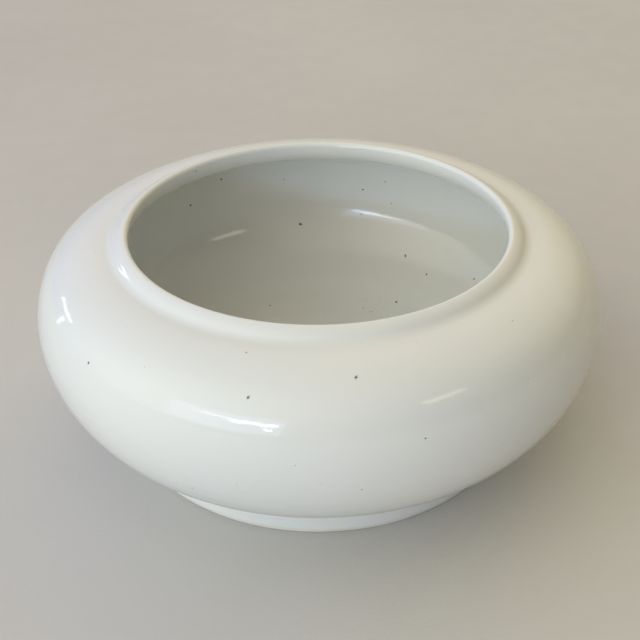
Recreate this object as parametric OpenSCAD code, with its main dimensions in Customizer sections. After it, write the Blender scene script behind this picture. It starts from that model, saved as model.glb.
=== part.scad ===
// A wide, low porcelain brush washer: a squat round bowl whose shoulder closes in to a wide
// mouth with a rolled lip, standing on a turned foot ring. Glazed all over except where it stands.
//
// Every wall is drawn in half section and turned about the Z axis. A section's lines are chains
// of arcs that run smoothly into each other, and a coat or a wall is what lies between two
// such lines at different depths below the outer face.
// The origin is the centre of the circle that the foot stands on, and Z points up.

/* [Body] */
// Diameter at the belly, the widest line
belly_d = 254; // [248:1:264]
// Height of the belly above the table
belly_z = 64; // [62:0.5:66]
// Height of the crest of the lip above the table
height = 101.5; // [100:0.5:103.5]
// Thickness of the wall, with the glaze on both sides
wall = 8; // [7:0.25:9]

/* [Curves of the wall] */
// Radius of the arc from the belly down to the base
low_r = 52; // [50:0.5:54]
// Radius of the arc from the belly up to the turn of the shoulder
up_r = 38.5; // [36:0.5:41]
// Radius of the turn of the shoulder
turn_r = 25.5; // [23:0.5:28]
// Radius of the arc over the top of the shoulder
top_r = 42; // [40:0.5:45]

/* [Lip] */
// Diameter of the mouth at its narrowest
mouth_d = 168; // [166:0.5:170]
// Radius of the inner edge of the lip, which carries the crest
edge_r = 1.8; // [1.4:0.1:2.4]
// Radius of the roll that falls from the crest to the groove
roll_r = 10; // [8.5:0.5:11.5]
// Radius of the groove outside the lip
groove_r = 6; // [4.5:0.5:7.5]

/* [Foot] */
// Outer diameter of the foot ring
foot_d = 183; // [174:1:188]
// Width of the foot ring, with the glaze on both sides
foot_w = 8; // [7:0.5:10]
// Bevel on both edges of the face that the foot stands on
bevel = 1.2; // [0.8:0.1:1.6]

/* [Glaze] */
// Thickness of the glaze coat
glaze_t = 0.5; // [0.3:0.1:0.7]
// Height of the bare clay left at the edge of the foot
bare_h = 2; // [1.7:0.1:3]

/* [Hidden] */
$fn = 180;

CLAY = "#e4dccb";
GLAZE_OUT = "#e9edea";
GLAZE_IN = "#dfe6e4";

// Bearings where one arc of the wall hands over to the next, from the belly up
TURN_FROM = 25;
TURN_TO = 62;
// Bearings on the lip's inner edge: where its roll takes over, the crest, and where the inside
// of the lip takes over at the narrowest point of the mouth
ROLL_FROM = 72;
CREST = 90;
NARROWEST = 180;
// Longest step along an arc, in degrees, and along one too tight to need as many
STEP = 4;
TIGHT_STEP = 12;
TIGHT_R = 5;

function polar(c, r, a) = c + r * [cos(a), sin(a)];
function bearing(from, to) = atan2(to[1] - from[1], to[0] - from[0]);
function backwards(line) = [for (i = [len(line) - 1:-1:0]) line[i]];
// The points of an arc, all but its last, which the next arc of the chain starts with
function arc(c, r, a0, a1) =
    let (n = ceil(abs(a1 - a0) / (r < TIGHT_R ? TIGHT_STEP : STEP)))
    [for (i = [0:n - 1]) polar(c, r, a0 + (a1 - a0) * i / n)];

belly_r = belly_d / 2;
foot_r = foot_d / 2;
foot_in_r = foot_r - foot_w;

// Centres of the wall's arcs
low_c = [belly_r - low_r, belly_z];
up_c = [belly_r - up_r, belly_z];
turn_c = polar(up_c, up_r - turn_r, TURN_FROM);
top_c = polar(turn_c, turn_r - top_r, TURN_TO);
base_z = belly_z - low_r;

// The inner edge of the lip, and the roll that runs smoothly on from it
edge_c = [mouth_d / 2 + edge_r, height - edge_r];
roll_c = polar(edge_c, edge_r - roll_r, ROLL_FROM);

// The groove's arc touches both the top of the shoulder and the roll, so its centre is where
// a circle about each of theirs crosses
groove_span = top_r + groove_r;
groove_reach = roll_r + groove_r;
tops_apart = norm(roll_c - top_c);
cross_at = (pow(groove_span, 2) - pow(groove_reach, 2) + pow(tops_apart, 2)) / (2 * tops_apart);
TOP_TO = bearing(top_c, roll_c) - acos(cross_at / groove_span);
groove_c = polar(top_c, groove_span, TOP_TO);
ROLL_TO = bearing(roll_c, groove_c);

// The inside of the lip falls from the narrowest point of the mouth in one arc, out to where
// the inside of the shoulder begins
inside_end = polar(top_c, top_r - wall, TOP_TO);
inside_fall = inside_end - polar(edge_c, edge_r, NARROWEST);
inside_r = pow(norm(inside_fall), 2) / (2 * inside_fall[0]);
inside_c = polar(edge_c, edge_r - inside_r, NARROWEST);
INSIDE_TO = 360 + bearing(inside_c, inside_end);

// Where a side of the foot at a radius meets the underside of the bowl at a depth
function foot_bearing(r, depth) = -acos((r - low_c[0]) / (low_r - depth));

// ---- lines of the section, each at a depth below the outer face ----

// From the axis along the floor and up to the belly
function lower_line(depth) = concat(
    [[0, base_z + depth]],
    arc(low_c, low_r - depth, -90, 0),
    [[belly_r - depth, belly_z]]
);

// From the belly over the shoulder to the foot of the lip
function upper_line(depth) = concat(
    arc(up_c, up_r - depth, 0, TURN_FROM),
    arc(turn_c, turn_r - depth, TURN_FROM, TURN_TO),
    arc(top_c, top_r - depth, TURN_TO, TOP_TO),
    [polar(top_c, top_r - depth, TOP_TO)]
);

// From the top of the shoulder through the groove and over the roll to the crest
function lip_line(depth) = concat(
    arc(groove_c, groove_r + depth, TOP_TO + 180, ROLL_TO + 180),
    arc(roll_c, roll_r - depth, ROLL_TO, ROLL_FROM),
    arc(edge_c, edge_r - depth, ROLL_FROM, CREST),
    [polar(edge_c, edge_r - depth, CREST)]
);

// From the crest round the inner edge and down the inside of the lip to the inside of the
// shoulder. The depth is counted from the inner face of the wall.
function edge_line(depth) = concat(
    arc(edge_c, edge_r - depth, CREST, NARROWEST),
    arc(inside_c, inside_r - depth, NARROWEST, INSIDE_TO),
    [polar(top_c, top_r - wall + depth, TOP_TO)]
);

// Under the bowl from one bearing to another
function under_line(depth, a0, a1) = concat(
    arc(low_c, low_r - depth, a0, a1),
    [polar(low_c, low_r - depth, a1)]
);

// ---- sections ----

// What lies between two lines that run the same way
module between(line_a, line_b) {
    polygon(concat(line_a, backwards(line_b)));
}

module foot_section() {
    out_r = foot_r - glaze_t;
    in_r = foot_in_r + glaze_t;
    polygon(concat(
        [[in_r, bevel], [in_r + bevel, 0], [out_r - bevel, 0], [out_r, bevel]],
        under_line(glaze_t, foot_bearing(out_r, glaze_t), foot_bearing(in_r, glaze_t))
    ));
}

module lip_section() {
    between(lip_line(glaze_t), backwards(edge_line(glaze_t)));
}

// The coat outside: up from the bare edge of the foot, over the bowl and up to the crest
module outer_coat_section() {
    clay_r = foot_r - glaze_t;
    between(
        concat(
            [[foot_r, bare_h]],
            arc(low_c, low_r, foot_bearing(foot_r, 0), 0),
            upper_line(0),
            lip_line(0)
        ),
        concat(
            [[clay_r, bare_h]],
            arc(low_c, low_r - glaze_t, foot_bearing(clay_r, glaze_t), 0),
            upper_line(glaze_t),
            lip_line(glaze_t)
        )
    );
}

// The coat inside: from the centre of the floor, up the wall and over the edge to the crest
module inner_coat_section() {
    skin = wall - glaze_t;
    between(
        concat(lower_line(wall), upper_line(wall), backwards(edge_line(0))),
        concat(lower_line(skin), upper_line(skin), backwards(edge_line(glaze_t)))
    );
}

// The coat under the base, down the inside of the foot to its bare edge
module base_coat_section() {
    clay_r = foot_in_r + glaze_t;
    between(
        concat(
            [[0, base_z]],
            under_line(0, -90, foot_bearing(foot_in_r, 0)),
            [[foot_in_r, bare_h]]
        ),
        concat(
            [[0, base_z + glaze_t]],
            under_line(glaze_t, -90, foot_bearing(clay_r, glaze_t)),
            [[clay_r, bare_h]]
        )
    );
}

// ---- nodes ----

module foot_ring() {
    color(CLAY) rotate_extrude() foot_section();
}

module lower_bowl() {
    color(CLAY) rotate_extrude() between(lower_line(glaze_t), lower_line(wall - glaze_t));
}

module shoulder() {
    color(CLAY) rotate_extrude() between(upper_line(glaze_t), upper_line(wall - glaze_t));
}

module lip() {
    color(CLAY) rotate_extrude() lip_section();
}

module outer_glaze() {
    color(GLAZE_OUT) rotate_extrude() outer_coat_section();
}

module inner_glaze() {
    color(GLAZE_IN) rotate_extrude() inner_coat_section();
}

module base_glaze() {
    color(GLAZE_OUT) rotate_extrude() base_coat_section();
}

foot_ring();
lower_bowl();
shoulder();
lip();
outer_glaze();
inner_glaze();
base_glaze();
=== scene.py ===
"""A white glazed porcelain brush washer on a pale studio floor.

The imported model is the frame. Its three glaze coats and its foot are replaced by finer turned
meshes on the same section, which carry what throwing and glazing leave: faint rings, a slight
unevenness, glaze pooled in the corners and iron specks. Everything is in metres, Z up.
"""

import math
import random

import bpy
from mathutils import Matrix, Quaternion, Vector, noise


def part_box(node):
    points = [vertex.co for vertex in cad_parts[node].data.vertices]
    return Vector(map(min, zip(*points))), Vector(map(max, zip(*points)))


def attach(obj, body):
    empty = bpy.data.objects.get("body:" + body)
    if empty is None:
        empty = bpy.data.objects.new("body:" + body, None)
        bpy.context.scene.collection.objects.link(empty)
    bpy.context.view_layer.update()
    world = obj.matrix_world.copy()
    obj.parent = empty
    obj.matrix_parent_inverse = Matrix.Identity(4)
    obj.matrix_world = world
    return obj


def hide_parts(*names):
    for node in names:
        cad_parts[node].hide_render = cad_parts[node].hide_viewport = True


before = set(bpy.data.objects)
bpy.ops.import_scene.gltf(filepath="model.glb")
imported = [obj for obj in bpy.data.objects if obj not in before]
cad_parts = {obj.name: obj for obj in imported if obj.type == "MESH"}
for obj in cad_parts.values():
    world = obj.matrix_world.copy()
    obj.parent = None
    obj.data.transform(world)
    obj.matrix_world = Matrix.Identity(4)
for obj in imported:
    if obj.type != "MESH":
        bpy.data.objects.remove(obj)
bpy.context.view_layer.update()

MM = 0.001

# ---- the section's sizes: what the frame tells, then the radii of its arcs ----

BELLY_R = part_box("outer_glaze")[1].x
BELLY_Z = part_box("lower_bowl")[1].z
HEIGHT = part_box("outer_glaze")[1].z
BARE_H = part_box("outer_glaze")[0].z
COAT = BELLY_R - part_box("lower_bowl")[1].x
BASE_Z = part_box("lower_bowl")[0].z - COAT
FLOOR_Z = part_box("inner_glaze")[0].z + COAT
FOOT_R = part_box("foot_ring")[1].x + COAT
FOOT_IN_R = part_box("base_glaze")[1].x - COAT

WALL = FLOOR_Z - BASE_Z
LOW_R = BELLY_Z - BASE_Z
UP_R = 38.5 * MM
TURN_R = 25.5 * MM
TOP_R = 42 * MM
MOUTH_R = 84 * MM
EDGE_R = 1.8 * MM
ROLL_R = 10 * MM
GROOVE_R = 6 * MM
FOOT_ROUND = 1.2 * MM
# Radius of the glaze pooled where the foot meets the bowl
POOL_R = 1.2 * MM

# Bearings, in degrees, where one arc of the section hands over to the next
TURN_FROM = 25
TURN_TO = 62
ROLL_FROM = 72
CREST = 90
NARROWEST = 180

# Points round a turned mesh, and the longest steps along a face that shows and one that doesn't
SIDES = 360
FINE = 0.8 * MM
COARSE = 2.5 * MM

# What the hand left: depth of the unevenness and its swells per metre, and height and spacing
# of the throwing rings
UNEVEN = 0.10 * MM
SWELLS = 14
RING_HEIGHT = 0.010 * MM
RING_PITCH = 6.5 * MM

# Sides of a speck, and how much wider its faint rim is than its dark heart
SPECK_SIDES = 12
SPECK_RIM = 1.25
# How far a speck's lens stands above the coat's face and reaches below it
SPECK_TOP = 0.06 * MM
SPECK_DEPTH = 0.14 * MM


# ---- plane geometry: points are (distance from the axis, height) ----

def polar(centre, radius, bearing):
    """The point at a bearing, in degrees, from a centre."""
    angle = math.radians(bearing)
    return centre + radius * Vector((math.cos(angle), math.sin(angle)))


def bearing(start, end):
    """The bearing of one point from another, in degrees."""
    return math.degrees(math.atan2(end.y - start.y, end.x - start.x))


def crossing(a, reach_a, b, reach_b):
    """Where circles about a and b cross, on the right hand going from a to b."""
    apart = (b - a).length
    along = (reach_a ** 2 - reach_b ** 2 + apart ** 2) / (2 * apart)
    return polar(a, reach_a, bearing(a, b) - math.degrees(math.acos(along / reach_a)))


def arc(centre, radius, start, end, step=FINE):
    """Points of an arc between two bearings, all but the last."""
    count = max(2, math.ceil(math.radians(abs(end - start)) * radius / step))
    return [polar(centre, radius, start + (end - start) * i / count) for i in range(count)]


def straight(start, end, step=FINE):
    """Points of a straight line, all but the last."""
    count = max(1, math.ceil((end - start).length / step))
    return [start.lerp(end, i / count) for i in range(count)]


low_c = Vector((BELLY_R - LOW_R, BELLY_Z))
up_c = Vector((BELLY_R - UP_R, BELLY_Z))
turn_c = polar(up_c, UP_R - TURN_R, TURN_FROM)
top_c = polar(turn_c, TURN_R - TOP_R, TURN_TO)
edge_c = Vector((MOUTH_R + EDGE_R, HEIGHT - EDGE_R))
roll_c = polar(edge_c, EDGE_R - ROLL_R, ROLL_FROM)
groove_c = crossing(top_c, TOP_R + GROOVE_R, roll_c, ROLL_R + GROOVE_R)
TOP_TO = bearing(top_c, groove_c)
ROLL_TO = bearing(roll_c, groove_c)

# The inside of the lip falls in one arc from the narrowest point of the mouth to the shoulder
inside_end = polar(top_c, TOP_R - WALL, TOP_TO)
inside_fall = inside_end - polar(edge_c, EDGE_R, NARROWEST)
INSIDE_R = inside_fall.length ** 2 / (2 * inside_fall.x)
inside_c = polar(edge_c, EDGE_R - INSIDE_R, NARROWEST)
INSIDE_TO = 360 + bearing(inside_c, inside_end)


def side_bearing(radius, depth):
    """The bearing from low_c where an upright side at a radius meets the bowl at a depth."""
    return -math.degrees(math.acos((radius - low_c.x) / (LOW_R - depth)))


def under_bowl(x):
    """The centre of a pooled corner that lies at x and touches the bowl's underside."""
    return Vector((x, BELLY_Z - math.sqrt((LOW_R + POOL_R) ** 2 - (x - low_c.x) ** 2)))


# ---- lines of the section ----

def outer_line():
    """From the glaze's edge on the foot, over the bowl and up to the crest of the lip."""
    edge = Vector((FOOT_R - COAT, BARE_H + COAT))
    pool = under_bowl(FOOT_R + POOL_R)
    return (
        arc(edge, COAT, -90, 0, COAT / 4)
        + straight(Vector((FOOT_R, edge.y)), Vector((FOOT_R, pool.y)))
        + arc(pool, POOL_R, 180, bearing(pool, low_c), POOL_R / 5)
        + arc(low_c, LOW_R, bearing(low_c, pool), 0)
        + arc(up_c, UP_R, 0, TURN_FROM)
        + arc(turn_c, TURN_R, TURN_FROM, TURN_TO)
        + arc(top_c, TOP_R, TURN_TO, TOP_TO)
        + arc(groove_c, GROOVE_R, TOP_TO + 180, ROLL_TO + 180, GROOVE_R / 8)
        + arc(roll_c, ROLL_R, ROLL_TO, ROLL_FROM)
        + arc(edge_c, EDGE_R, ROLL_FROM, CREST, EDGE_R / 8)
    )


def inner_line():
    """From the crest of the lip round its edge, down the wall and in to the floor's centre."""
    return (
        arc(edge_c, EDGE_R, CREST, NARROWEST, EDGE_R / 8)
        + arc(inside_c, INSIDE_R, NARROWEST, INSIDE_TO)
        + arc(top_c, TOP_R - WALL, TOP_TO, TURN_TO)
        + arc(turn_c, TURN_R - WALL, TURN_TO, TURN_FROM)
        + arc(up_c, UP_R - WALL, TURN_FROM, 0)
        + arc(low_c, LOW_R - WALL, 0, -90)
        + straight(Vector((low_c.x, FLOOR_Z)), Vector((0, FLOOR_Z)))
        + [Vector((0, FLOOR_Z))]
    )


def coat_back():
    """The clay side of the coat, from the floor's centre back over the lip to the foot."""
    inside = WALL - COAT
    floor = FLOOR_Z - COAT
    clay_r = FOOT_R - COAT
    return (
        straight(Vector((0, floor)), Vector((low_c.x, floor)), COARSE)
        + arc(low_c, LOW_R - inside, -90, 0, COARSE)
        + arc(up_c, UP_R - inside, 0, TURN_FROM, COARSE)
        + arc(turn_c, TURN_R - inside, TURN_FROM, TURN_TO, COARSE)
        + arc(top_c, TOP_R - inside, TURN_TO, TOP_TO, COARSE)
        + arc(inside_c, INSIDE_R - COAT, INSIDE_TO, NARROWEST, COARSE)
        + arc(edge_c, EDGE_R - COAT, NARROWEST, ROLL_FROM, EDGE_R / 6)
        + arc(roll_c, ROLL_R - COAT, ROLL_FROM, ROLL_TO, COARSE)
        + arc(groove_c, GROOVE_R + COAT, ROLL_TO + 180, TOP_TO + 180, GROOVE_R / 4)
        + arc(top_c, TOP_R - COAT, TOP_TO, TURN_TO, COARSE)
        + arc(turn_c, TURN_R - COAT, TURN_TO, TURN_FROM, COARSE)
        + arc(up_c, UP_R - COAT, TURN_FROM, 0, COARSE)
        + arc(low_c, LOW_R - COAT, 0, side_bearing(clay_r, COAT), COARSE)
        + straight(
            polar(low_c, LOW_R - COAT, side_bearing(clay_r, COAT)), Vector((clay_r, BARE_H)), COARSE
        )
    )


def base_line():
    """Under the bowl from the axis, into the corner and down the inside of the foot."""
    pool = under_bowl(FOOT_IN_R - POOL_R)
    edge = Vector((FOOT_IN_R + COAT, BARE_H + COAT))
    return (
        straight(Vector((0, BASE_Z)), Vector((low_c.x, BASE_Z)))
        + arc(low_c, LOW_R, -90, bearing(low_c, pool))
        + arc(pool, POOL_R, bearing(pool, low_c), 0, POOL_R / 5)
        + straight(Vector((FOOT_IN_R, pool.y)), Vector((FOOT_IN_R, edge.y)))
        + arc(edge, COAT, 180, 270, COAT / 4)
        + [edge - Vector((0, COAT))]
    )


def base_back():
    """The clay side of the coat under the base, from the foot back to the axis."""
    clay_r = FOOT_IN_R + COAT
    meets = side_bearing(clay_r, COAT)
    return (
        straight(Vector((clay_r, BARE_H)), polar(low_c, LOW_R - COAT, meets), COARSE)[1:]
        + arc(low_c, LOW_R - COAT, meets, -90, COARSE)
        + straight(Vector((low_c.x, BASE_Z + COAT)), Vector((0, BASE_Z + COAT)), COARSE)
        + [Vector((0, BASE_Z + COAT))]
    )


def foot_outline():
    """The foot ring in clay, round both edges of its face and closed inside the bowl."""
    out_r = FOOT_R - COAT
    in_r = FOOT_IN_R + COAT
    out_c = Vector((out_r - FOOT_ROUND, FOOT_ROUND))
    in_c = Vector((in_r + FOOT_ROUND, FOOT_ROUND))
    out_top = polar(low_c, LOW_R - COAT, side_bearing(out_r, COAT))
    in_top = polar(low_c, LOW_R - COAT, side_bearing(in_r, COAT))
    return (
        arc(in_c, FOOT_ROUND, 180, 270, FOOT_ROUND / 6)
        + straight(Vector((in_c.x, 0)), Vector((out_c.x, 0)), 0.5 * MM)
        + arc(out_c, FOOT_ROUND, 270, 360, FOOT_ROUND / 6)
        + straight(Vector((out_r, FOOT_ROUND)), out_top, 0.5 * MM)
        + arc(low_c, LOW_R - COAT, side_bearing(out_r, COAT), side_bearing(in_r, COAT))
        + straight(in_top, Vector((in_r, FOOT_ROUND)), 0.5 * MM)
    )


# ---- turned meshes ----

def settled(point, azimuth, ring_phase=None):
    """A point of the section at an azimuth, moved by the unevenness and the throwing rings.

    The whole coat sinks towards the axis by up to twice UNEVEN, so it stays in the frame's box.
    """
    around = Vector((math.cos(azimuth), math.sin(azimuth), 0))
    place = around * point.x + Vector((0, 0, point.y))
    sink = UNEVEN * (1 + noise.noise(place * SWELLS)) * min(1, point.x / BELLY_R)
    if ring_phase is not None:
        sink += RING_HEIGHT * (1 + math.sin(math.tau * ring_phase + azimuth))
    return around * (point.x - min(sink, point.x)) + Vector((0, 0, point.y))


def turned(name, outline, moved=settled, ring_span=0):
    """A closed mesh turned about Z from an outline that either closes or ends on the axis.

    The first ring_span points of the outline carry throwing rings.
    """
    on_axis = [point.x < 1e-7 for point in outline]
    verts = []
    first_of = []
    travelled = 0
    for i, point in enumerate(outline):
        travelled += (point - outline[i - 1]).length if i else 0
        phase = travelled / RING_PITCH if i < ring_span else None
        first_of.append(len(verts))
        if on_axis[i]:
            verts.append(Vector((0, 0, point.y)))
            continue
        for side in range(SIDES):
            verts.append(moved(point, math.tau * side / SIDES, phase))
    faces = []
    for i in range(len(outline)):
        j = (i + 1) % len(outline)
        if on_axis[i] and on_axis[j]:
            continue
        for side in range(SIDES):
            after = (side + 1) % SIDES
            low = [first_of[i]] if on_axis[i] else [first_of[i] + side, first_of[i] + after]
            high = [first_of[j]] if on_axis[j] else [first_of[j] + after, first_of[j] + side]
            faces.append(low + high)
    mesh = bpy.data.meshes.new(name)
    mesh.from_pydata(verts, [], faces)
    mesh.shade_smooth()
    mesh.set_sharp_from_angle(angle=math.radians(50))
    mesh.update()
    piece = bpy.data.objects.new(name, mesh)
    bpy.context.scene.collection.objects.link(piece)
    return piece


def mark(piece, name, value_at):
    """Stores on every vertex a number worked out from its (distance from the axis, height)."""
    values = piece.data.attributes.new(name, "FLOAT", "POINT")
    for vertex, value in zip(piece.data.vertices, values.data):
        value.value = value_at(math.hypot(vertex.co.x, vertex.co.y), vertex.co.z)


def near(radius, height, place, reach):
    """1 at a place of the section, falling to 0 about twice reach away."""
    away = (Vector((radius, height)) - place).length
    return math.exp(-((away / reach) ** 2))


def pooled(radius, height):
    """How much glaze has run together here: a little in the groove, more where the foot begins."""
    groove = polar(groove_c, GROOVE_R, -90)
    return max(
        0.15 * near(radius, height, groove, 3 * MM),
        near(radius, height, under_bowl(FOOT_R + POOL_R), 1.6 * MM),
        near(radius, height, under_bowl(FOOT_IN_R - POOL_R), 2.5 * MM),
    )


def floor_shade_and_wear(radius, height):
    """1 on the floor of the bowl, fading out up its wall: painted shade in the floor's colour, and glaze
    rubbed rougher where brushes were rinsed.
    """
    if height > BELLY_Z or height < FLOOR_Z - COAT:
        return 0
    return max(0, min(1, (low_c.x + 4 * MM - radius) / (24 * MM)))


# ---- materials ----

class Nodes:
    """A material's node tree, with short ways to add and join nodes."""

    def __init__(self, name):
        self.material = bpy.data.materials.new(name)
        self.material.use_nodes = True
        self.tree = self.material.node_tree
        self.shader = self.tree.nodes["Principled BSDF"]
        self.place = self.add("ShaderNodeTexCoord").outputs["Object"]

    def add(self, kind, **settings):
        node = self.tree.nodes.new(kind)
        for key, value in settings.items():
            setattr(node, key, value)
        return node

    def set(self, socket, value):
        if isinstance(value, bpy.types.NodeSocket):
            self.tree.links.new(value, socket)
        else:
            socket.default_value = value

    def noise(self, scale, detail=3, roughness=0.5):
        node = self.add("ShaderNodeTexNoise")
        self.set(node.inputs["Vector"], self.place)
        self.set(node.inputs["Scale"], scale)
        self.set(node.inputs["Detail"], detail)
        self.set(node.inputs["Roughness"], roughness)
        return node.outputs["Fac"]

    def math(self, operation, a, b):
        node = self.add("ShaderNodeMath", operation=operation)
        self.set(node.inputs[0], a)
        self.set(node.inputs[1], b)
        return node.outputs[0]

    def ramp(self, value, low, high, to_low=0.0, to_high=1.0):
        node = self.add("ShaderNodeMapRange", interpolation_type="SMOOTHSTEP")
        for key, number in zip(
            ("Value", "From Min", "From Max", "To Min", "To Max"), (value, low, high, to_low, to_high)
        ):
            self.set(node.inputs[key], number)
        return node.outputs["Result"]

    def mix(self, factor, a, b):
        node = self.add("ShaderNodeMix", data_type="RGBA")
        self.set(node.inputs["Factor"], factor)
        self.set(node.inputs["A"], a)
        self.set(node.inputs["B"], b)
        return node.outputs["Result"]

    def attribute(self, name):
        return self.add("ShaderNodeAttribute", attribute_name=name).outputs["Fac"]

    def bump(self, height, distance, strength=1.0, after=None):
        node = self.add("ShaderNodeBump")
        self.set(node.inputs["Height"], height)
        self.set(node.inputs["Distance"], distance)
        self.set(node.inputs["Strength"], strength)
        if after is not None:
            self.set(node.inputs["Normal"], after)
        return node.outputs["Normal"]

    def dots(self, spacing, radius, share):
        """Soft round dots of a radius, in about that share of cells of a spacing."""
        cells = self.add("ShaderNodeTexVoronoi")
        self.set(cells.inputs["Vector"], self.place)
        self.set(cells.inputs["Scale"], 1 / spacing)
        dot = self.ramp(cells.outputs["Distance"], radius / spacing, 0.4 * radius / spacing)
        picked = self.add("ShaderNodeSeparateColor")
        self.set(picked.inputs["Color"], cells.outputs["Color"])
        return self.math("MULTIPLY", dot, self.math("LESS_THAN", picked.outputs[0], share))


def glaze_material():
    """Clear glaze over white porcelain, cool where it lies thick, with painted shade darkening the floor
    and the glaze rubbed rougher there.
    """
    n = Nodes("white_glaze")
    cloud = n.ramp(n.noise(9, 4), 0.35, 0.65)
    colour = n.mix(cloud, (0.760, 0.775, 0.742, 1), (0.790, 0.795, 0.755, 1))
    mottle = n.ramp(n.noise(70, 4, 0.6), 0.55, 0.75, 0.0, 0.35)
    colour = n.mix(mottle, colour, (0.725, 0.750, 0.725, 1))
    # Painted shade: the floor of the bowl is darkened to olive grey; the same mask makes its glaze
    # rougher with wear.
    rubbed_and_shaded = n.math("MULTIPLY", n.attribute("floor_shade_and_wear"), n.ramp(n.noise(26, 5, 0.65), 0.3, 0.7, 0.35, 1))
    colour = n.mix(n.math("MULTIPLY", rubbed_and_shaded, 0.5), colour, (0.640, 0.640, 0.575, 1))
    colour = n.mix(n.math("MULTIPLY", n.attribute("pooled"), 0.6), colour, (0.560, 0.640, 0.610, 1))
    colour = n.mix(n.dots(11 * MM, 0.28 * MM, 0.18), colour, (0.330, 0.310, 0.270, 1))
    colour = n.mix(n.dots(17 * MM, 1.5 * MM, 0.10), colour, (0.690, 0.690, 0.650, 1))
    n.set(n.shader.inputs["Base Color"], colour)
    gloss = n.ramp(n.noise(40, 3), 0.3, 0.7, 0.05, 0.09)
    n.set(n.shader.inputs["Roughness"], n.math("ADD", gloss, n.math("MULTIPLY", rubbed_and_shaded, 0.12)))
    n.set(n.shader.inputs["IOR"], 1.52)
    peel = n.bump(n.noise(230, 2), 0.05 * MM)
    n.set(n.shader.inputs["Normal"], n.bump(n.noise(1100, 2), 0.004 * MM, after=peel))
    return n.material


def bare_material(name, toasted):
    """Unglazed porcelain: matt, creamy and finely grained, toasted beside the glaze."""
    n = Nodes(name)
    cloud = n.ramp(n.noise(60, 5, 0.6), 0.35, 0.65)
    colour = n.mix(cloud, (0.740, 0.715, 0.650, 1), (0.790, 0.775, 0.720, 1))
    grain = n.ramp(n.noise(1400, 3, 0.7), 0.5, 0.8, 0.0, 0.5)
    colour = n.mix(grain, colour, (0.600, 0.565, 0.490, 1))
    if toasted:
        axes = n.add("ShaderNodeSeparateXYZ")
        n.set(axes.inputs[0], n.place)
        beside = n.ramp(axes.outputs[2], BARE_H * 0.3, BARE_H, 0.0, 0.30)
        colour = n.mix(beside, colour, (0.640, 0.500, 0.360, 1))
        scuffed = n.math("MULTIPLY", n.ramp(axes.outputs[2], 0.4 * MM, 0.0), n.noise(180, 5, 0.7))
        colour = n.mix(n.math("MULTIPLY", scuffed, 0.9), colour, (0.430, 0.400, 0.340, 1))
    n.set(n.shader.inputs["Base Color"], colour)
    n.set(n.shader.inputs["Roughness"], n.ramp(n.noise(300, 3), 0.3, 0.7, 0.62, 0.85))
    coarse = n.bump(n.noise(420, 4, 0.6), 0.10 * MM)
    n.set(n.shader.inputs["Normal"], n.bump(n.noise(2200, 3), 0.03 * MM, after=coarse))
    return n.material


def iron_material():
    """Iron burnt through the glaze: dark at the heart of a speck, lost in the glaze at its rim."""
    n = Nodes("iron_in_glaze")
    rim = n.mix(n.noise(70, 3), (0.740, 0.755, 0.722, 1), (0.775, 0.785, 0.750, 1))
    heart = n.mix(n.noise(1800, 3), (0.030, 0.026, 0.022, 1), (0.130, 0.110, 0.085, 1))
    burnt = n.math("MULTIPLY", n.attribute("burnt"), n.ramp(n.noise(900, 2), 0.3, 0.7, 0.7, 1.3))
    colour = n.mix(n.ramp(burnt, 0.0, 0.8), rim, heart)
    n.set(n.shader.inputs["Base Color"], colour)
    n.set(n.shader.inputs["Roughness"], n.ramp(n.noise(900, 2), 0.3, 0.7, 0.10, 0.22))
    n.set(n.shader.inputs["Normal"], n.bump(n.noise(1500, 2), 0.02 * MM))
    return n.material


def floor_material():
    """Pale matt studio board with a faint tooth."""
    n = Nodes("studio_floor")
    cloud = n.ramp(n.noise(3, 4), 0.3, 0.7)
    n.set(n.shader.inputs["Base Color"], n.mix(cloud, (0.56, 0.545, 0.52, 1), (0.60, 0.585, 0.56, 1)))
    n.set(n.shader.inputs["Roughness"], n.ramp(n.noise(50, 3), 0.3, 0.7, 0.55, 0.7))
    n.set(n.shader.inputs["Normal"], n.bump(n.noise(600, 3), 0.08 * MM))
    return n.material


# ---- iron specks ----

def at_distance(line, distance):
    """The point of a line at a distance along it, and the way that its face looks there."""
    for a, b in zip(line, line[1:]):
        step = (b - a).length
        if distance <= step:
            along = (b - a).normalized()
            return a.lerp(b, distance / step), Vector((along.y, -along.x))
        distance -= step
    return line[-1], Vector((0, 1))


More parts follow.
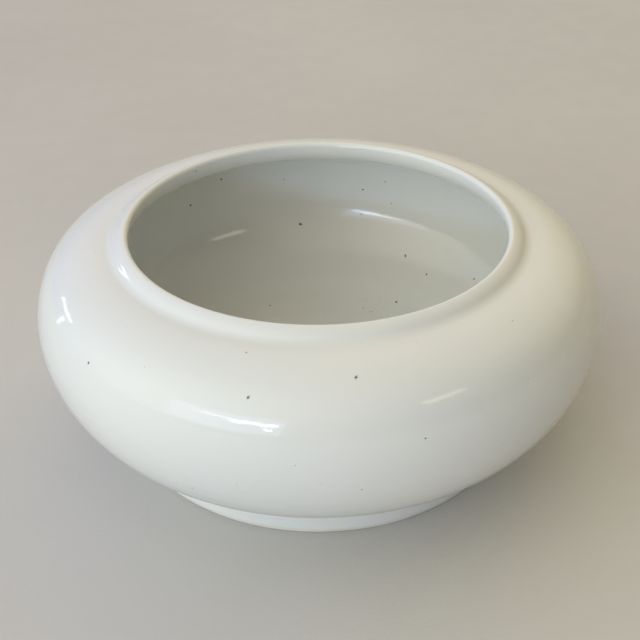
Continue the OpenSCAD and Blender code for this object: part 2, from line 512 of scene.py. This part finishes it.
def speck(line, azimuth, distance, radius, stretch, turn):
    """Vertices, faces and burnt values of a flat closed lens that lies in a coat's face."""
    point, facing = at_distance(line, distance)
    azimuth = math.radians(azimuth)
    around = Vector((math.cos(azimuth), math.sin(azimuth), 0))
    centre = settled(point, azimuth)
    out = around * facing.x + Vector((0, 0, facing.y))
    across = Vector((0, 0, 1)).cross(around)
    up = out.cross(across)
    # A large speck is burnt darker than a small one
    strength = min(1, 0.3 + radius / (1.5 * MM))
    # Each ring's share of the radius, its height above the face in millimetres, and how burnt
    rings = ((0.3, 0.055, 0.85), (0.55, 0.045, 0.5), (0.8, 0.02, 0.15), (1.0, -0.02, 0), (0.6, -0.12, 0))
    verts = [centre + out * SPECK_TOP]
    burnt = [strength]
    for size, lift, value in rings:
        for side in range(SPECK_SIDES):
            angle = math.tau * side / SPECK_SIDES
            wide = radius * size * math.cos(angle) * stretch
            tall = radius * size * math.sin(angle) / stretch
            flat_x = wide * math.cos(turn) - tall * math.sin(turn)
            flat_y = wide * math.sin(turn) + tall * math.cos(turn)
            verts.append(centre + across * flat_x + up * flat_y + out * lift * MM)
            burnt.append(value * strength)
    verts.append(centre - out * SPECK_DEPTH)
    burnt.append(0.0)
    faces = []
    last = len(rings) - 1
    for side in range(SPECK_SIDES):
        after = (side + 1) % SPECK_SIDES
        faces.append([0, 1 + side, 1 + after])
        for ring in range(last):
            low = 1 + SPECK_SIDES * ring
            high = low + SPECK_SIDES
            faces.append([low + side, high + side, high + after, low + after])
        low = 1 + SPECK_SIDES * last
        faces.append([low + side, len(verts) - 1, low + after])
    return verts, faces, burnt


def iron_specks():
    """One mesh of all the specks.

    Each has an azimuth in degrees, a distance in millimetres along the face from the floor's
    centre or from the foot, and the radius of its dark heart in millimetres.
    """
    chance = random.Random(7)
    lip_down = inner_line()
    foot_up = outer_line()
    to_centre = sum((b - a).length for a, b in zip(lip_down, lip_down[1:])) / MM
    inside = [
        (125, 141, 0.75), (116, 152, 0.7), (99, 146, 0.5), (95, 120, 0.95), (78, 140, 0.6),
        (72, 146, 0.5), (70, 134, 0.45), (78, 126, 0.55), (63, 107, 0.8), (54, 100, 0.7),
        (39, 108, 0.65), (57, 75, 0.95), (113, 66, 0.6), (68, 62, 0.5), (63, 60, 0.55),
        (-70, 120, 0.7), (-20, 92, 0.6), (-150, 104, 0.7), (200, 60, 0.5), (-48, 44, 0.5),
    ]
    outside = [
        (-138, 97, 0.65), (-103, 105, 0.75), (-83, 114, 0.75), (-106, 124, 0.5), (-72, 87, 0.5),
        (-83, 67, 0.4), (-114, 57, 0.45), (-44, 118, 0.4), (12, 70, 0.7), (55, 96, 0.6),
        (88, 52, 0.8), (131, 84, 0.7), (168, 108, 0.6), (205, 61, 0.5), (150, 122, 0.5),
    ]
    for _ in range(26):
        inside.append((chance.gauss(62, 9), chance.gauss(64, 8), chance.uniform(0.2, 0.34)))
    for _ in range(34):
        inside.append((chance.uniform(0, 360), chance.uniform(30, 150), 0.25))
    for _ in range(30):
        outside.append((chance.uniform(0, 360), chance.uniform(20, 128), 0.22))
    wanted = [(lip_down, azimuth, to_centre - along, size) for azimuth, along, size in inside]
    wanted += [(foot_up, azimuth, along, size) for azimuth, along, size in outside]
    wanted.append((lip_down, 135, 4, 0.5))
    verts = []
    faces = []
    burnt = []
    for line, azimuth, distance, radius in wanted:
        stretch = chance.uniform(1.0, 1.3)
        turn = chance.uniform(0, math.pi)
        more, sides, values = speck(line, azimuth, distance * MM, SPECK_RIM * radius * MM, stretch, turn)
        faces += [[len(verts) + i for i in side] for side in sides]
        verts += more
        burnt += values
    mesh = bpy.data.meshes.new("iron_specks")
    mesh.from_pydata(verts, [], faces)
    mesh.shade_smooth()
    values = mesh.attributes.new("burnt", "FLOAT", "POINT")
    values.data.foreach_set("value", burnt)
    piece = bpy.data.objects.new("iron_specks", mesh)
    bpy.context.scene.collection.objects.link(piece)
    return piece


# ---- the object ----

coat_front = outer_line() + inner_line()
glaze_coat = turned("glaze_coat", coat_front + coat_back(), ring_span=len(coat_front))
mark(glaze_coat, "pooled", pooled)
# The floor's mask: painted shade in its colour and wear in its roughness
mark(glaze_coat, "floor_shade_and_wear", floor_shade_and_wear)
base_coat = turned("base_coat", base_line() + base_back())
mark(base_coat, "pooled", pooled)
mark(base_coat, "floor_shade_and_wear", lambda radius, height: 0)
foot_edge = turned("foot_edge", foot_outline())
specks = iron_specks()

glaze = glaze_material()
bare = bare_material("bare_porcelain", toasted=True)
clay = bare_material("clay_under_glaze", toasted=False)
glaze_coat.data.materials.append(glaze)
base_coat.data.materials.append(glaze)
foot_edge.data.materials.append(bare)
specks.data.materials.append(iron_material())
# The clay behind the coats keeps its own meshes
for name in ("lower_bowl", "shoulder", "lip"):
    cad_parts[name].data.materials.clear()
    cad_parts[name].data.materials.append(clay)

for piece in (glaze_coat, base_coat, foot_edge, specks):
    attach(piece, "root")
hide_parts("outer_glaze", "inner_glaze")
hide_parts("base_glaze")
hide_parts("foot_ring")

# ---- the studio ----

FLOOR_SIZE = 80


def studio_floor():
    """A flat square floor under the foot, wide enough to reach the horizon."""
    mesh = bpy.data.meshes.new("studio_floor")
    half = FLOOR_SIZE / 2
    corners = [(-half, -half, 0), (half, -half, 0), (half, half, 0), (-half, half, 0)]
    mesh.from_pydata(corners, [], [(0, 1, 2, 3)])
    mesh.materials.append(floor_material())
    floor = bpy.data.objects.new("studio_floor", mesh)
    bpy.context.scene.collection.objects.link(floor)
    return floor


studio_floor()


def softbox(name, azimuth, elevation, distance, width, height, watts, colour):
    """A rectangular light that looks at the middle of the bowl from a bearing and a height."""
    data = bpy.data.lights.new(name, "AREA")
    data.shape = "RECTANGLE"
    data.size = width
    data.size_y = height
    data.energy = watts
    data.color = colour
    light = bpy.data.objects.new(name, data)
    around = math.radians(azimuth)
    above = math.radians(elevation)
    away = Vector((
        math.cos(around) * math.cos(above), math.sin(around) * math.cos(above), math.sin(above)
    ))
    light.location = Vector((0, 0, BELLY_Z)) + away * distance
    light.rotation_euler = away.to_track_quat("Z", "Y").to_euler()
    light.visible_camera = False
    bpy.context.scene.collection.objects.link(light)


# Name, azimuth and elevation, distance, width and height, watts, and colour
softbox("front_window", -124, 15, 1.6, 1.20, 0.64, 4.6, (0.60, 0.62, 1.0))
softbox("open_sky", -113, 15, 1.6, 0.44, 0.09, 3.2, (0.42, 0.72, 1.0))
softbox("window_pane", -130, 18, 1.6, 0.20, 0.10, 0.22, (1.0, 0.98, 0.95))
softbox("window_bar", -119, 17.6, 1.6, 0.50, 0.018, 0.45, (1.0, 0.98, 0.95))
softbox("far_lamp", -108, 10, 1.6, 0.05, 0.04, 0.22, (1.0, 0.98, 0.95))
softbox("left_window", 148, 16, 4, 0.85, 0.25, 3.0, (0.95, 0.97, 1.0))
softbox("left_curtain", 152, 5.5, 4, 0.125, 0.80, 0.9, (0.95, 0.97, 1.0))
softbox("right_lamp", -40, 33, 1.6, 0.42, 0.14, 0.45, (1.0, 0.92, 0.78))


def soft_world(base, glows):
    """A dim room that glows softly from a few sides: azimuth, elevation in degrees, and colour."""
    world = bpy.data.worlds.new("studio")
    world.use_nodes = True
    tree = world.node_tree
    toward = tree.nodes.new("ShaderNodeTexCoord").outputs["Generated"]
    total = tree.nodes.new("ShaderNodeRGB").outputs[0]
    total.default_value = (*base, 1)
    for azimuth, elevation, colour in glows:
        around = math.radians(azimuth)
        above = math.radians(elevation)
        facing = tree.nodes.new("ShaderNodeVectorMath")
        facing.operation = "DOT_PRODUCT"
        tree.links.new(toward, facing.inputs[0])
        facing.inputs[1].default_value = (
            math.cos(around) * math.cos(above), math.sin(around) * math.cos(above), math.sin(above)
        )
        lit_side = tree.nodes.new("ShaderNodeMath")
        lit_side.operation = "MAXIMUM"
        tree.links.new(facing.outputs["Value"], lit_side.inputs[0])
        lit_side.inputs[1].default_value = 0
        falloff = tree.nodes.new("ShaderNodeMath")
        falloff.operation = "POWER"
        tree.links.new(lit_side.outputs[0], falloff.inputs[0])
        falloff.inputs[1].default_value = 3
        glow = tree.nodes.new("ShaderNodeVectorMath")
        glow.operation = "SCALE"
        glow.inputs[0].default_value = colour
        tree.links.new(falloff.outputs[0], glow.inputs["Scale"])
        added = tree.nodes.new("ShaderNodeVectorMath")
        added.operation = "ADD"
        tree.links.new(total, added.inputs[0])
        tree.links.new(glow.outputs["Vector"], added.inputs[1])
        total = added.outputs["Vector"]
    tree.links.new(total, tree.nodes["Background"].inputs["Color"])
    bpy.context.scene.world = world


soft_world((0.05, 0.05, 0.05), [
    (-135, 40, (1.20, 1.08, 0.88)),
    (-160, 10, (0.62, 0.77, 0.56)),
    (70, 40, (1.14, 0.97, 0.50)),
    (135, 30, (0.12, 0.20, 0.76)),
])

# Where the camera stands, the point that it looks at, and its roll in degrees
CAMERA_AT = Vector((0, -0.4542, 0.3388))
CAMERA_LOOKS_AT = Vector((0.0004, 0, 0.0493))
CAMERA_ROLL = -0.54

camera_data = bpy.data.cameras.new("camera")
camera_data.sensor_width = 36
camera_data.lens = 64.7
camera_data.clip_start = 0.01
camera = bpy.data.objects.new("camera", camera_data)
camera.location = CAMERA_AT
camera.rotation_mode = "QUATERNION"
camera.rotation_quaternion = (CAMERA_LOOKS_AT - CAMERA_AT).to_track_quat("-Z", "Y") @ Quaternion(
    (0, 0, 1), math.radians(CAMERA_ROLL)
)
bpy.context.scene.collection.objects.link(camera)
bpy.context.scene.camera = camera
bpy.context.scene.view_settings.view_transform = "Standard"
